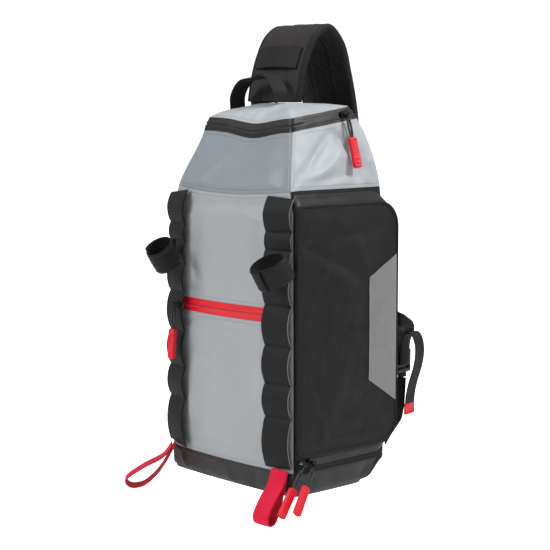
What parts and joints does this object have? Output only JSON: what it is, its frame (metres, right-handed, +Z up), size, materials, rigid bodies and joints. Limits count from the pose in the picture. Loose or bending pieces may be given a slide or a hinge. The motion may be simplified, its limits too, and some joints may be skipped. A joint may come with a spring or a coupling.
{
  "type": "tackle sling bag",
  "caption": "Upright fishing sling bag with hood lid, padded shoulder strap, daisy-chain webbing, rod rings, accessory loops, zipped side pocket and red zip pulls",
  "frame": {"origin": "the point under the crown of the padded strap, where it sits on a shoulder or a peg", "axes": "+Z up along the bag's height, +X to the right of the bag as its front is looked at, -Y out of the front"},
  "size_m": [0.2601, 0.2538, 0.5303],
  "materials": {
    "grey_cloth": "coated grey cloth, satin",
    "slate_cloth": "coated slate cloth, satin",
    "pale_cloth": "coated pale grey cloth, satin",
    "coated_black": "coated waterproof black cloth, satin",
    "black_cloth": "woven nylon, matt",
    "pocket_cloth": "coated woven nylon, soft sheen",
    "padded_cloth": "padded spacer mesh, matt",
    "webbing_black": "ribbed nylon webbing",
    "reflective": "grey reflective print",
    "red_zip": "coated coil zip tape",
    "red_webbing": "ribbed red webbing",
    "red_rubber": "moulded soft rubber",
    "black_plastic": "moulded acetal",
    "black_metal": "black enamelled die cast",
    "black_cord": "braided cord"
  },
  "bodies": {
    "root": {"base_tub": "coated_black", "base_rear_wrap": "black_cloth", "front_panel_lower": "grey_cloth", "front_zip_tape": "red_zip", "front_panel_upper": "grey_cloth", "back_panel": "padded_cloth", "side_wall_right": "black_cloth", "side_wall_left": "black_cloth", "hood_front": "slate_cloth", "hood_side_right": "pale_cloth", "hood_side_left": "pale_cloth", "lid_zip_band": "coated_black", "lid": "pale_cloth", "daisy_webbing_right": "webbing_black", "daisy_webbing_left": "webbing_black", "rod_ring_right": "webbing_black", "rod_ring_left": "webbing_black", "red_loop_right": "red_webbing", "red_loop_left": "red_webbing", "pocket_panel_right": "pocket_cloth", "reflective_patch": "reflective", "pocket_piping_right": "webbing_black", "pocket_gusset_right": "pocket_cloth", "strap_pad": "padded_cloth", "strap_keeper": "webbing_black", "grab_handle": "webbing_black", "side_wing": "black_cloth", "ladder_lock": "black_plastic", "sling_webbing": "webbing_black", "anchor_webbing": "webbing_black", "webbing_tail": "webbing_black", "tail_label": "red_rubber", "lid_pull_link": "black_metal", "lid_pull_cord": "black_cord", "lid_pull_grip": "red_rubber", "lid_pull_slider": "black_metal", "front_pull_link": "black_metal", "front_pull_cord": "black_cord", "front_pull_grip": "red_rubber", "front_pull_slider": "black_metal", "pocket_pull_a_link": "black_metal", "pocket_pull_a_cord": "black_cord", "pocket_pull_a_grip": "red_rubber", "pocket_pull_a_slider": "black_metal", "pocket_pull_b_link": "black_metal", "pocket_pull_b_cord": "black_cord", "pocket_pull_b_grip": "red_rubber", "pocket_pull_b_slider": "black_metal"}
  },
  "joints": []
}
